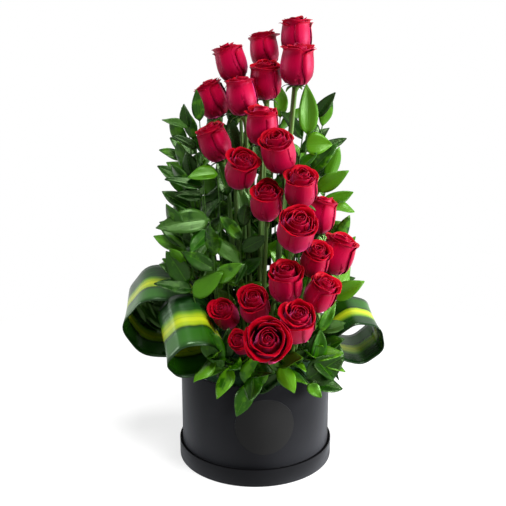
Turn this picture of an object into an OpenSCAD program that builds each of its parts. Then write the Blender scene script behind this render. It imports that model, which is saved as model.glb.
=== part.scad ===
// Round hat-box flower arrangement: a board box that stands in its own lid, a plastic
// liner with wet foam inside it, and a tall cascade of roses, leafy sprigs and looped
// variegated leaves pushed into the foam.
// Millimetres. Z is up, the cascade faces -Y, and the origin is the centre of the
// underside of the lid.

/* [Box] */
// Outside diameter of the box tube
box_d = 200; // [190:1:220]
// Height of the box tube
box_h = 132; // [115:1:140]
// Thickness of the rolled board of the box and of the lid
board_t = 2.5; // [1.5:0.1:3]

/* [Lid, worn as a tray] */
// Height of the lid's rim
lid_h = 24; // [15:1:40]
// Clearance between the lid's rim and the box tube
lid_gap = 1.5; // [0.5:0.1:3]

/* [Blank label] */
// Diameter of the round label
label_d = 75; // [40:1:90]
// Height of the label's centre above the table
label_z = 80; // [75:1:85]
// Turn of the label from the front of the box, in degrees
label_turn = 7; // [0:1:20]
// Thickness of the label
label_t = 0.4; // [0.2:0.1:0.8]

/* [Liner and foam] */
// Wall of the plastic liner
liner_t = 1.2; // [0.8:0.1:2]
// Height of the liner
liner_h = 85; // [60:1:100]
// Clearance between the liner and the box tube
liner_gap = 1.5; // [0.8:0.1:3]
// Clearance between the foam and the liner
foam_gap = 1; // [0.5:0.1:3]
// Height of the foam's top above the rim of the box
foam_rise = 20; // [12:1:26]
// Bevel around the top of the foam
foam_bevel = 12; // [6:1:16]

/* [Roses] */
// Widest diameter of a rose bloom of size 1
bloom_d = 45; // [38:1:47]
// Height of a rose bloom of size 1
bloom_h = 52; // [44:1:54]
// Thickness of a petal
petal_t = 0.6; // [0.4:0.1:0.8]
// Diameter of a rose stem
stem_d = 5.5; // [4:0.1:6]
// Straight neck below a rose's hip
neck_l = 12; // [6:1:16]
// Length of a sepal
sepal_l = 15; // [10:1:20]
// Depth to which long stems are pushed into the foam
push_in = 45; // [35:1:60]

/* [Leaves] */
// Diameter of a sprig's stem
twig_d = 3; // [2:0.1:4]
// Depth to which the short salal sprigs are pushed into the foam
salal_push_in = 25; // [15:1:34]
// Length of a ruscus leaf of size 1
ruscus_l = 52; // [40:1:56]
// Width of a ruscus leaf of size 1
ruscus_w = 24; // [18:1:26]
// Length of a salal leaf of size 1
salal_l = 52; // [40:1:56]
// Width of a salal leaf of size 1
salal_w = 30; // [22:1:34]
// Thickness of a leaf of a sprig
leaf_t = 0.8; // [0.5:0.1:1]
// Angle that each half of a leaf is folded up from flat
leaf_fold = 16; // [0:1:30]
// Thickness of a looped leaf
loop_t = 1; // [0.6:0.1:1.5]
// Diameter of a looped leaf's stalk
stalk_d = 6; // [4:0.1:7]

/* [Hidden] */
$fn = 48;

box_r = box_d / 2;
box_top = board_t + box_h;
liner_r = box_r - board_t - liner_gap;
liner_z = 2 * board_t;
foam_r = liner_r - liner_t - foam_gap;
foam_z = liner_z + liner_t;
foam_top = box_top + foam_rise;
foot_z = foam_top - push_in;

// Each rose: place of the bloom's centre, lean from upright, heading of the lean
// (0 is +X, -90 is the front) and size.
roses = [
    [[53, 58, 558], 5, -90, 1],
    [[53, 10, 523], 8, -60, 1.05],
    [[12, 82, 542], 8, 150, 0.95],
    [[-32, 48, 525], 15, 180, 1],
    [[14, 36, 503], 12, -90, 1],
    [[-18, 14, 484], 8, 180, 1],
    [[-57, 46, 478], 20, 180, 1],
    [[8, -20, 450], 8, -90, 1],
    [[-53, 6, 426], 22, -160, 1],
    [[28, -50, 420], 30, -110, 1.05],
    [[-18, -36, 396], 40, -75, 1],
    [[55, -64, 378], 28, -90, 1],
    [[14, -52, 359], 28, -90, 0.95],
    [[86, 6, 332], 12, 0, 1],
    [[49, -92, 332], 42, -80, 1.12],
    [[106, -18, 286], 20, -20, 1.1],
    [[75, -52, 285], 30, -70, 0.9],
    [[37, -88, 267], 22, -90, 1],
    [[80, -82, 251], 30, -45, 0.95],
    [[-1, -74, 232], 38, -100, 0.95],
    [[50, -114, 224], 35, -85, 1.05],
    [[14, -136, 207], 58, -90, 1.2],
    [[-38, -56, 215], 45, -110, 0.85],
    [[-18, -92, 190], 55, -110, 0.65],
];

// Each sprig: node that it belongs to, foot [x, y] in the foam, tip of the stem, bend of
// the stem in degrees, leaf size, bare stem above the foot, azimuth that the leaves
// face, and their fan to each side of it. Rows of one node stand together.
sprigs = [
    ["ruscus_left_tall", [-36, 40], [-82, 52, 424], 6, 1, 190, -110, 80],
    ["ruscus_left_tall", [-30, 58], [-52, 70, 416], 6, 1, 150, -110, 80],
    ["ruscus_left_tall", [-44, 50], [-96, 62, 412], 12, 0.9, 210, -110, 80],
    ["ruscus_left_upper", [-50, 10], [-86, 4, 356], 12, 1, 140, -110, 80],
    ["ruscus_left_upper", [-46, 30], [-80, 24, 368], 8, 1, 165, -95, 80],
    ["ruscus_left_upper", [-51, 27], [-90, 28, 384], 12, 0.9, 180, -110, 80],
    ["ruscus_left_middle", [-54, -16], [-94, -24, 308], 14, 1.05, 140, -110, 80],
    ["ruscus_left_middle", [-50, -4], [-84, -16, 312], 8, 1, 110, -110, 80],
    ["ruscus_left_front", [-50, -14], [-52, -54, 290], 10, 1, 132, -100, 80],
    ["ruscus_left_low", [-40, -8], [-90, -40, 272], 22, 0.9, 140, -110, 80],
    ["ruscus_inner", [-30, -10], [-16, -30, 322], 6, 0.85, 95, -95, 80],
    ["ruscus_right_tall", [40, 54], [66, 74, 440], 8, 0.95, 275, -80, 80],
    ["ruscus_right_tall", [50, 48], [90, 64, 440], 12, 0.9, 290, -76, 80],
    ["ruscus_right_upper", [56, 44], [98, 52, 366], 12, 1, 175, -70, 80],
    ["ruscus_right_upper", [50, 62], [76, 92, 402], 10, 1, 230, -70, 80],
    ["ruscus_right_middle", [66, 30], [110, 40, 281], 14, 1, 150, -70, 80],
    ["ruscus_right_middle", [72, 34], [114, 62, 250], 18, 0.9, 110, -70, 80],
    ["salal_right", [70, 16], [110, 20, 212], 20, 1, 75, -70, 80],
    ["salal_right_front", [62, -48], [85, -66, 168], 110, 0.9, 30, 142, 80],
    ["salal_right_front", [52, -56], [75, -80, 166], 110, 0.75, 30, 132, 80],
    ["salal_front_right", [25, -75], [33, -104, 166], 115, 0.85, 30, 108, 80],
    ["salal_front", [1, -79], [-2, -108, 155], 120, 0.8, 30, 90, 80],
    ["salal_front_left", [-22, -76], [-32, -103, 162], 120, 0.85, 30, 72, 80],
    ["salal_left_front", [-38, -68], [-52, -90, 168], 110, 0.85, 30, 55, 80],
    ["ruscus_back_left", [-22, 70], [-46, 98, 330], 12, 1, 80, 110, 80],
    ["ruscus_back_left", [-12, 68], [-28, 84, 436], 6, 0.9, 300, -95, 80],
    ["ruscus_back_tall", [0, 60], [-2, 96, 430], 6, 1, 120, 90, 80],
    ["ruscus_back_right", [42, 66], [70, 98, 350], 12, 1, 105, 70, 80],
    ["ruscus_back_right", [26, 72], [34, 84, 450], 6, 0.9, 300, 90, 80],
    ["salal_back_left", [-52, 60], [-80, 90, 176], 110, 1, 30, -50, 80],
    ["salal_back", [-12, 78], [-16, 114, 172], 110, 1, 30, -85, 80],
    ["salal_back_right", [26, 78], [42, 110, 174], 110, 1, 30, -115, 80],
    ["salal_right_back", [62, 52], [88, 78, 176], 110, 1, 30, -150, 80],
];

// Each looped leaf: name, place of its pinched waist, foot [x, y] in the foam, centre of
// its round end, radius of that end, blade width, and tilt of the blade's width.
loops = [
    ["loop_left_back", [-60, 22, 166], [-56, 22], [-121, 7, 198], 51, 66, 25],
    ["loop_left_front", [-42, -36, 170], [-40, -34], [-84, -60, 188], 33, 76, 34],
    ["loop_left_high", [-64, 58, 190], [-58, 50], [-102, 62, 240], 28, 54, 30],
    ["loop_right", [76, -19, 172], [72, -19], [131, -14, 179], 31, 62, 14],
];

function two_digits(i) = i < 10 ? str("0", i) : str(i);
function rose_name(i) = str("rose_", two_digits(i + 1));

// A node's rows stand together, so its name is new where it differs from the row before
sprig_names = [for (k = [0 : len(sprigs) - 1]) if (k == 0 || sprigs[k][0] != sprigs[k - 1][0])
    sprigs[k][0]];

// A unit vector that leans from upright towards a heading
function axis_of(lean, heading) =
    [sin(lean) * cos(heading), sin(lean) * sin(heading), cos(lean)];
function lean_of(v) = atan2(norm([v.x, v.y]), v.z);
function heading_of(v) = atan2(v.y, v.x);

// Puts its children's +Z along a direction
module point_along(v) {
    rotate([0, lean_of(v), heading_of(v)]) children();
}

module rod(a, b, d) {
    translate(a) point_along(b - a) cylinder(d = d, h = norm(b - a));
}

module tube(d, wall, h) {
    difference() {
        cylinder(d = d, h = h);
        translate([0, 0, -1]) cylinder(d = d - 2 * wall, h = h + 2);
    }
}

// ---- box, lid, liner and foam ----

lid_in_d = box_d + 2 * lid_gap;

module lid_plate() {
    color("#1c1c1f") cylinder(d = lid_in_d, h = board_t);
}

module lid_rim() {
    color("#1c1c1f") tube(lid_in_d + 2 * board_t, board_t, lid_h);
}

module box_floor() {
    color("#1c1c1f")
        translate([0, 0, board_t]) cylinder(d = box_d - 2 * board_t, h = board_t);
}

module box_wall() {
    color("#232327") translate([0, 0, board_t]) tube(box_d, board_t, box_h);
}

module blank_label() {
    color("#2a2a2c") intersection() {
        tube(box_d + 2 * label_t, label_t, box_top);
        translate([0, 0, label_z]) rotate([90, 0, label_turn]) cylinder(d = label_d, h = box_d);
    }
}

module liner() {
    color("#2f3a30") translate([0, 0, liner_z]) difference() {
        cylinder(r = liner_r, h = liner_h);
        translate([0, 0, liner_t]) cylinder(r = liner_r - liner_t, h = liner_h);
    }
}

module foam() {
    color("#2e6b3c") rotate_extrude() polygon([
        [0, foam_z], [foam_r, foam_z], [foam_r, foam_top - foam_bevel],
        [foam_r - foam_bevel, foam_top], [0, foam_top],
    ]);
}

// ---- roses ----

petals = 9;
golden = 137.5;
petal_step = 1.35;
petal_half_angle = 68;
belly_r = bloom_d * 0.43;
belly_z = bloom_h * 0.46;
petal_z = 2;
hip_h = 8;
hip_d = 12;
sepal_fall = 138;

// Cup radius, lip radius and height of the petals, from the outside in
function petal_belly(i) = belly_r - i * petal_step;
function petal_top(i) = i < 4 ? bloom_h - 3 + i * 0.8 : bloom_h;
function petal_lip(i) = 34 + i * 22;

// Points along one face of a petal's section, from its foot up: a cup that swells to
// the belly, then a lip that turns out. Inset 0 is the back, petal_t is the front.
function petal_face(i, inset) = let (
    b = petal_belly(i),
    swell = b / 2,
    rise = belly_z - petal_z,
    cup_r = (swell * swell + rise * rise) / (2 * swell),
    cup_a = asin(rise / cup_r),
    lip_r = petal_lip(i),
    lip_a = asin((petal_top(i) - belly_z) / lip_r)
) concat(
    [for (t = [1 : -0.25 : 0])
        [b - cup_r + (cup_r - inset) * cos(cup_a * t), belly_z - (cup_r - inset) * sin(cup_a * t)]],
    [for (t = [0.5, 1])
        [b + lip_r - (lip_r + inset) * cos(lip_a * t), belly_z + (lip_r + inset) * sin(lip_a * t)]]
);
function reversed(list) = [for (k = [len(list) - 1 : -1 : 0]) list[k]];

// One petal: a slice of a cup, rounded off by a sphere
module petal(i) {
    reach = bloom_h / 2 + 1;
    rotate([0, 0, i * golden]) intersection() {
        rotate([0, 0, -petal_half_angle]) rotate_extrude(angle = 2 * petal_half_angle)
            polygon(concat(petal_face(i, 0), reversed(petal_face(i, petal_t))));
        translate([petal_belly(i) * 0.6, 0, petal_top(i) - reach]) sphere(r = reach);
    }
}

// The closed heart of the bloom, its outline swelling and shutting as a sine
module heart() {
    r = petal_belly(petals) - petal_t;
    h = bloom_h * 0.92;
    rotate_extrude() polygon(concat([[0, petal_z]],
        [for (t = [0 : 0.125 : 1]) [r * (0.45 + 0.55 * sin(155 * t)) * (t < 1 ? 1 : 0.6),
            petal_z + (h - petal_z) * t]], [[0, h]]));
}

module bloom() {
    for (i = [0 : petals - 1]) petal(i);
    cylinder(r1 = hip_d / 2, r2 = belly_r / 2 + 1.5, h = petal_z + 2);
    heart();
}

function bloom_base(r) = r[0] - (bloom_h / 2) * r[3] * axis_of(r[1], r[2]);
function neck_end(r) = bloom_base(r) - (hip_h + neck_l) * axis_of(r[1], r[2]);

module rose(i) {
    r = roses[i];
    color("#b3001e") translate(bloom_base(r)) rotate([0, r[1], r[2]])
        rotate([0, 0, i * golden]) scale(r[3]) bloom();
}

// Every stem runs straight from its neck towards one point below the box
stem_aim = [0, 0, -100];
function stem_foot(r) = let (n = neck_end(r))
    n + (stem_aim - n) * (n.z - foot_z) / (n.z - stem_aim.z);

module sepal() {
    sepal_w = sepal_l * 0.35;
    arc_r = (sepal_l * sepal_l + sepal_w * sepal_w) / (4 * sepal_w);
    rotate([90, 0, 90]) linear_extrude(1) intersection() {
        translate([arc_r - sepal_w / 2, sepal_l / 2]) circle(r = arc_r);
        translate([sepal_w / 2 - arc_r, sepal_l / 2]) circle(r = arc_r);
    }
}

module rose_stem(r) {
    base = bloom_base(r);
    n = neck_end(r);
    rod(stem_foot(r), n, stem_d);
    translate(n) sphere(d = stem_d * 1.3);
    translate(n) rotate([0, r[1], r[2]]) {
        cylinder(d = stem_d, h = neck_l + 1);
        translate([0, 0, neck_l]) cylinder(d1 = stem_d, d2 = hip_d * 0.95, h = hip_h);
        for (k = [0 : 4]) rotate([0, 0, 72 * k])
            translate([hip_d * 0.3, 0, neck_l + hip_h - 2.5]) rotate([0, sepal_fall, 0]) sepal();
    }
}

module rose_stems() {
    color("#3f7a2c") for (r = roses) rose_stem(r);
}

// ---- leafy sprigs ----

ruscus_open = 48;
salal_open = 32;
leaf_twist = 55;
ruscus_droop = 12;
salal_droop = 30;
ruscus_pitch = ruscus_l * 0.5;
salal_pitch = salal_l * 0.3;

function is_salal(s) = s[0][0] == "s";

// A pointed blade along +Z, its halves folded up along the midrib towards -X
module leaf(l, w) {
    arc_r = (l * l + w * w) / (4 * w);
    side = w / 2 + 1;
    fold = side * tan(leaf_fold);
    intersection() {
        translate([0, 0, -1]) linear_extrude(l + 2) polygon([
            [0, 0], [-fold, side], [leaf_t - fold, side],
            [leaf_t, 0], [leaf_t - fold, -side], [-fold, -side],
        ]);
        translate([-w, 0, 0]) rotate([90, 0, 90]) linear_extrude(2 * w) intersection() {
            translate([arc_r - w / 2, l / 2]) circle(r = arc_r, $fn = 96);
            translate([w / 2 - arc_r, l / 2]) circle(r = arc_r, $fn = 96);
        }
    }
}

// A stem that arches from its foot to its tip, with leaves on alternate sides from the
// tip down, each turned about its own midrib to face outwards
module sprig(s) {
    foot = [s[1].x, s[1].y, foam_top - (is_salal(s) ? salal_push_in : push_in)];
    chord = s[2] - foot;
    bend = s[3];
    lean0 = lean_of(chord) - bend / 2;
    lean1 = lean0 + bend;
    arc_r = norm(chord) / (2 * sin(bend / 2));
    length = arc_r * bend * PI / 180;
    pitch = s[4] * (is_salal(s) ? salal_pitch : ruscus_pitch);
    leaf_l = is_salal(s) ? salal_l : ruscus_l;
    leaf_w = is_salal(s) ? salal_w : ruscus_w;
    open = is_salal(s) ? salal_open : ruscus_open;
    droop = is_salal(s) ? -salal_droop : ruscus_droop;
    count = floor((length - s[5]) / pitch);
    translate(foot) rotate([0, 0, heading_of(chord)]) {
        translate([arc_r * cos(lean0), 0, -arc_r * sin(lean0)]) rotate([90, 0, 0])
            rotate([0, 0, 180 - lean1]) rotate_extrude(angle = bend, $fn = 360)
                translate([arc_r, 0]) circle(d = twig_d, $fn = 16);
        for (k = [0 : count]) {
            lean = lean1 - bend * k * pitch / length;
            side = k == 0 ? 0 : k % 2 == 0 ? 1 : -1;
            translate([arc_r * (cos(lean0) - cos(lean)), 0, arc_r * (sin(lean) - sin(lean0))])
                rotate([0, lean, 0]) rotate([0, 0, s[6] - heading_of(chord) + side * s[7]])
                    rotate([0, k == 0 ? droop : open, 0]) rotate([0, 0, side * leaf_twist])
                        leaf(s[4] * leaf_l, s[4] * leaf_w);
        }
    }
}

module sprig_node(name) {
    color(name[0] == "s" ? "#2f7d22" : "#3c8a2a")
        for (s = sprigs) if (s[0] == name) sprig(s);
}

// ---- looped leaves ----

loop_waist = 10;
loop_full = 34;

module loop_blade(reach, end_r, width) {
    open = asin(end_r / reach);
    leg = reach * cos(open);
    intersection() {
        union() {
            translate([reach, 0, 0]) rotate([90, 0, 0]) rotate([0, 0, -90 - open])
                rotate_extrude(angle = 180 + 2 * open, $fn = 96)
                    translate([end_r - loop_t / 2, -width / 2]) square([loop_t, width]);
            for (side = [-1, 1]) rotate([0, side * open, 0])
                translate([0, -width / 2, -loop_t / 2]) cube([leg, width, loop_t]);
        }
        translate([0, 0, -2 * end_r]) linear_extrude(4 * end_r) polygon([
            [-1, -loop_waist / 2], [loop_full, -width / 2], [reach + 2 * end_r, -width / 2],
            [reach + 2 * end_r, width / 2], [loop_full, width / 2], [-1, loop_waist / 2],
        ]);
    }
}

module loop_leaf(l) {
    waist = l[1];
    out = l[3] - waist;
    color("#2f6e1d") {
        rod([l[2].x, l[2].y, foot_z], waist, stalk_d);
        translate(waist) rotate([0, 0, heading_of(out)])
            rotate([0, -atan2(out.z, norm([out.x, out.y])), 0])
                rotate([(out.x < 0 ? -1 : 1) * l[6], 0, 0]) loop_blade(norm(out), l[4], l[5]);
    }
}

lid_plate();
lid_rim();
box_floor();
box_wall();
blank_label();
liner();
foam();
rose_stems();
for (i = [0 : len(roses) - 1]) rose(i);
for (name = sprig_names) sprig_node(name);
for (l = loops) loop_leaf(l);
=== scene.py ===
# %% [markdown]
# # A round flower box with a cascade of roses
# The arrangement stands in a black board box that wears its own lid as a tray. The packed
# model gives every piece its place, so the first step loads it. Nothing loaded here is
# ever moved: new pieces are modelled around it and stand for the plain solids.

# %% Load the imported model
import random
from math import asin, atan2, cos, degrees, hypot, pi, radians, sin, tan, tau

import bmesh
import bpy
from mathutils import Matrix, Vector, noise


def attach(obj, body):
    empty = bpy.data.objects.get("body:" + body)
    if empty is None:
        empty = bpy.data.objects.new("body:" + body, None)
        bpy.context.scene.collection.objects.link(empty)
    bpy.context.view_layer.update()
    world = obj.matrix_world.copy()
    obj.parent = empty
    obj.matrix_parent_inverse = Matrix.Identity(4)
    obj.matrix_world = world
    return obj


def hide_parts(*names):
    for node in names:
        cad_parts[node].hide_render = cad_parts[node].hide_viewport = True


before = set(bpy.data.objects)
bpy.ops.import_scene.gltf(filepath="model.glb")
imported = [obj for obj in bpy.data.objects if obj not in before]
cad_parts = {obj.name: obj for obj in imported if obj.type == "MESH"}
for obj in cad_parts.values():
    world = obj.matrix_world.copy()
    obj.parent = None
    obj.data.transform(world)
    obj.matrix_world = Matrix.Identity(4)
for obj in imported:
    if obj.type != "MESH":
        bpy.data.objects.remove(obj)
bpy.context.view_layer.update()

# %% [markdown]
# ## Camera, light and floor
# The camera stands a metre away and looks down a little, so the rims of the box show as
# shallow ovals. A long lens keeps the tall cascade from leaning.

# %% Camera
mm = 0.001
camera_place = (-3 * mm, -1000 * mm, 530 * mm)
camera_pitch = 14
camera_lens = 55.85


def add_object(name, data):
    """Puts a new object with this data into the scene."""
    made = bpy.data.objects.new(name, data)
    bpy.context.collection.objects.link(made)
    return made


camera_data = bpy.data.cameras.new("camera")
camera_data.lens = camera_lens
camera_data.sensor_width = 36
camera = add_object("camera", camera_data)
camera.location = camera_place
camera.rotation_euler = (radians(90 - camera_pitch), 0, 0)
bpy.context.scene.camera = camera
bpy.context.scene.view_settings.view_transform = "Standard"
print("camera at", camera_place, "lens", camera_lens)

# %% [markdown]
# Soft studio light comes from broad panels at both sides, the right one brighter. Light
# from the side leaves the middle of the black box dark and draws a wide highlight down
# its right third, and it rounds every petal. A third panel hangs overhead, and a weak one
# in front at the right lights the faces of the blooms. Panels are aimed by turning their
# -Z axis at a point in the flowers.

# %% Light panels
light_aim = Vector((0, 0, 0.28))


def add_panel(name, place, size, power, tint=(1, 1, 1)):
    """A square area light at place that looks at the middle of the flowers."""
    data = bpy.data.lights.new(name, "AREA")
    data.size = size
    data.energy = power
    data.color = tint
    panel = add_object(name, data)
    panel.location = place
    panel.rotation_euler = (light_aim - Vector(place)).to_track_quat("-Z", "Y").to_euler()


add_panel("right_panel", (1.5, -0.1, 0.45), 0.5, 33, (1, 0.99, 0.98))
add_panel("left_panel", (-1.5, 0.1, 0.5), 0.5, 7, (0.97, 0.98, 1))
add_panel("top_panel", (0.1, -0.5, 1.75), 0.6, 24)
add_panel("front_panel", (1.1, -1.1, 0.7), 0.5, 12)

# %% [markdown]
# Materials and the world are networks of shader nodes. One helper adds a node, feeds its
# inputs and hands back what the node gives. That result takes + - and *, which add Math
# nodes, so a network can be written like a formula.

# %% Node helpers


class Pattern:
    """What a node gives. Arithmetic with it adds Math nodes."""

    def __init__(self, tree, socket):
        self.tree = tree
        self.socket = socket

    def math(self, operation, other=0.0):
        """Adds one Math node that works on this pattern."""
        return add_node(self.tree, "Math", {0: self, 1: other}, operation=operation)

    def __add__(self, other):
        return self.math("ADD", other)

    def __sub__(self, other):
        return self.math("SUBTRACT", other)

    def __mul__(self, other):
        return self.math("MULTIPLY", other)


def add_node(tree, kind, inputs=None, output=0, **settings):
    """Adds a node; inputs maps a socket to a constant or to what another node gives."""
    node = tree.nodes.new("ShaderNode" + kind)
    for key, value in settings.items():
        setattr(node, key, value)
    for key, value in (inputs or {}).items():
        if isinstance(value, Pattern):
            tree.links.new(value.socket, node.inputs[key])
        else:
            node.inputs[key].default_value = value
    if node.outputs:
        return Pattern(tree, node.outputs[output])


print("node helpers ready")

# %% [markdown]
# The floor and the backdrop are white. Making them white with more light would wash out
# the flowers, so the world is plain white only to the camera and to glossy or transmitted
# rays, and gives the object itself a much dimmer ambient light.

# %% World
ambient_level = 0.045


def white_to_viewer(tree, lit, white):
    """Mixes two shaders: white for camera, glossy and transmitted rays, lit for the rest."""
    seen = add_node(tree, "LightPath", output="Is Camera Ray")
    for other in ("Is Glossy Ray", "Is Transmission Ray"):
        seen = seen.math("MAXIMUM", add_node(tree, "LightPath", output=other))
    return add_node(tree, "MixShader", {0: seen, 1: lit, 2: white})


world = bpy.data.worlds.new("studio")
bpy.context.scene.world = world
world.use_nodes = True
tree = world.node_tree
tree.nodes.clear()
white = (1, 1, 1, 1)
ambient = add_node(tree, "Background", {"Color": white, "Strength": ambient_level})
backdrop = add_node(tree, "Background", {"Color": white, "Strength": 1})
add_node(tree, "OutputWorld", {"Surface": white_to_viewer(tree, ambient, backdrop)})
print("world ambient level", ambient_level)

# %% [markdown]
# The floor is a wide disc. Near the box its material is a pale diffuse with a share of
# white glow that only the viewer sees, so the contact shadow stays on it. Farther out,
# where the panels' light falls off, the glow takes over and the floor meets the backdrop
# without a line.

# %% Floor
floor_radius = 6
floor_grey = 0.45
floor_glow = 0.75
fade_starts, fade_ends = 0.2, 0.75

floor_mesh = bmesh.new()
bmesh.ops.create_circle(floor_mesh, cap_ends=True, radius=floor_radius, segments=96)
floor_data = bpy.data.meshes.new("floor")
floor_mesh.to_mesh(floor_data)
floor_mesh.free()
floor = add_object("floor", floor_data)
floor.location.z = -0.5 * mm

floor_paint = bpy.data.materials.new("floor")
floor_paint.use_nodes = True
tree = floor_paint.node_tree
tree.nodes.clear()
pale = add_node(tree, "BsdfDiffuse", {"Color": (floor_grey, floor_grey, floor_grey, 1)})
glow = add_node(tree, "Emission", {"Strength": floor_glow})
near = add_node(tree, "AddShader", {0: pale, 1: glow})
white = add_node(tree, "Emission")
place = add_node(tree, "TexCoord", output="Object")
distance = add_node(tree, "VectorMath", {0: place}, "Value", operation="LENGTH")
limits = {"Value": distance, "From Min": fade_starts, "From Max": fade_ends}
fade = add_node(tree, "MapRange", limits)
seen = add_node(tree, "MixShader", {0: fade, 1: near, 2: white})
add_node(tree, "OutputMaterial", {"Surface": white_to_viewer(tree, pale, seen)})
floor_data.materials.append(floor_paint)
print("floor disc of radius", floor_radius, "m")

# %% [markdown]
# ## Helpers for materials
# Each finish starts from one shader and ends with a base colour and a bump. Patterns are
# read in the piece's own coordinates, so nothing slides when it moves.

# %% Material helpers


def new_material(name, roughness, **sockets):
    """A material with a Principled shader whose constant sockets are set directly."""
    material = bpy.data.materials.new(name)
    material.use_nodes = True
    shader = material.node_tree.nodes["Principled BSDF"]
    shader.inputs["Roughness"].default_value = roughness
    for label, value in sockets.items():
        shader.inputs[label.replace("_", " ")].default_value = value
    return material, material.node_tree


def end_material(material, colour, height, strength, depth):
    """Feeds the shader its base colour and a bump of the given height pattern."""
    tree = material.node_tree
    shader = tree.nodes["Principled BSDF"]
    bump = add_node(tree, "Bump", {"Height": height, "Strength": strength, "Distance": depth})
    tree.links.new(colour.socket, shader.inputs["Base Color"])
    tree.links.new(bump.socket, shader.inputs["Normal"])
    return material


def ramp(factor, stops):
    """A colour ramp from stops of (position, (r, g, b))."""
    result = add_node(factor.tree, "ValToRGB", {"Fac": factor})
    elements = result.socket.node.color_ramp.elements
    while len(elements) < len(stops):
        elements.new(0.5)
    for element, (position, colour) in zip(elements, stops):
        element.position = position
        element.color = (*colour, 1)
    return result


def mix_colour(factor, pattern, plain):
    """Mixes a colour pattern with one plain colour."""
    inputs = {0: factor, 6: pattern, 7: (*plain, 1)}
    return add_node(factor.tree, "Mix", inputs, 2, data_type="RGBA")


def noise_pattern(place, scale, detail, roughness=0.5):
    """Cloudy noise, read at the given place."""
    inputs = {"Vector": place, "Scale": scale, "Detail": detail, "Roughness": roughness}
    return add_node(place.tree, "TexNoise", inputs, "Fac")


def coordinates(tree, kind, stretch=(1, 1, 1)):
    """Where a point is: "Object" in the piece's space, "UV" on its unrolled surface."""
    place = add_node(tree, "TexCoord", output=kind)
    return add_node(tree, "Mapping", {"Vector": place, "Scale": stretch})


def split_uv(tree):
    """The two parts of a point's place on the surface: across it and along it."""
    place = {0: add_node(tree, "TexCoord", output="UV")}
    return add_node(tree, "SeparateXYZ", place, "X"), add_node(tree, "SeparateXYZ", place, "Y")


print("material helpers ready")

# %% [markdown]
# ## Helpers for pieces
# A piece is built in a bmesh, written to a mesh, and hung on the body that it moves with.
# Its object stays at the origin: its place is in its vertices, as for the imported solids.

# %% Piece helpers


def make_piece(name, bm, materials, nodes=(), body="insert"):
    """Writes bm to a named object that rides on body and stands for the given nodes."""
    mesh = bpy.data.meshes.new(name)
    bm.to_mesh(mesh)
    bm.free()
    for polygon in mesh.polygons:
        polygon.use_smooth = True
    for material in materials:
        mesh.materials.append(material)
    piece = add_object(name, mesh)
    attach(piece, body)
    if nodes:
        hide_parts(*nodes)
    return piece


def thicken(piece, thickness, offset=0, inner_material=0):
    """Gives a sheet its real thickness with a live Solidify modifier."""
    solid = piece.modifiers.new("thickness", "SOLIDIFY")
    solid.thickness = thickness
    solid.offset = offset
    solid.use_even_offset = False
    solid.material_offset = inner_material


def start_sheet():
    """An empty bmesh with a UV layer, ready for grids."""
    bm = bmesh.new()
    bm.loops.layers.uv.new("UVMap")
    return bm


def shape_grid(bm, across, along, place, *shape):
    """Adds a grid and moves its vertices to place(s, t, *shape), s from -1 to 1, t 0 to 1."""
    made = bmesh.ops.create_grid(bm, x_segments=across, y_segments=along, size=1, calc_uvs=True)
    for vert in made["verts"]:
        vert.co = place(vert.co.x, (vert.co.y + 1) / 2, *shape)
    return made["verts"]


def turned(angle, axis):
    """A turn by an angle in degrees round the X, Y or Z axis."""
    return Matrix.Rotation(radians(angle), 4, axis)


def lean_matrix(lean, heading):
    """Turns +Z to lean away from upright, towards a compass heading, both in degrees."""
    return turned(heading, "Z") @ turned(lean, "Y")


def smooth_step(x):
    """Rises smoothly from 0 to 1 while x does."""
    x = min(max(x, 0.0), 1.0)
    return x * x * (3 - 2 * x)


print("piece helpers ready")

# %% [markdown]
# ## Roses
# A cut rose is a bud of about thirty petals. Each petal is a cup-shaped sheet: narrow at
# its foot, widest at the belly, and rolled outwards at its lip. Outer petals roll most,
# inner ones wrap tightly round the heart. The golden angle between neighbours is how real
# petals are placed, and it keeps their edges from lining up.
#
# Each row below places one rose, in millimetres and degrees: the centre of its bloom, how
# far it leans from upright, the heading of the lean, its size, and how far its outer
# petals have spread, from 0 for a bud with a narrow neck to 1 for an open bloom.

# %% Places of the roses
roses = [
    ((53, 58, 558), 5, -90, 1, 0.5),
    ((53, 10, 523), 8, -60, 1.05, 0.4),
    ((12, 82, 542), 8, 150, 0.95, 0.5),
    ((-32, 48, 525), 15, 180, 1, 0.6),
    ((14, 36, 503), 12, -90, 1, 0.5),
    ((-18, 14, 484), 8, 180, 1, 0.4),
    ((-57, 46, 478), 20, 180, 1, 0.4),
    ((8, -20, 450), 8, -90, 1, 0.6),
    ((-53, 6, 426), 22, -160, 1, 0.5),
    ((28, -50, 420), 30, -110, 1.05, 0.6),
    ((-18, -36, 396), 40, -75, 1, 0.4),
    ((55, -64, 378), 28, -90, 1, 0.6),
    ((14, -52, 359), 28, -90, 0.95, 0.5),
    ((86, 6, 332), 12, 0, 1, 0.4),
    ((49, -92, 332), 42, -80, 1.12, 0.8),
    ((106, -18, 286), 20, -20, 1.1, 0.5),
    ((75, -52, 285), 30, -70, 0.9, 0.5),
    ((37, -88, 267), 22, -90, 1, 0.6),
    ((80, -82, 251), 30, -45, 0.95, 0.5),
    ((-1, -74, 232), 38, -100, 0.95, 0.6),
    ((50, -114, 224), 35, -85, 1.05, 0.6),
    ((14, -136, 207), 58, -90, 1.2, 1),
    ((-38, -56, 215), 45, -110, 0.85, 0.3),
    ((-18, -92, 190), 55, -110, 0.65, 0.4),
]
bloom_width = 45 * mm
bloom_height = 52 * mm
belly_radius = 0.43 * bloom_width
golden = 137.5


def rose_axis(lean, heading):
    """The unit vector that a rose points along."""
    return (lean_matrix(lean, heading) @ Vector((0, 0, 1))).normalized()


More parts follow.
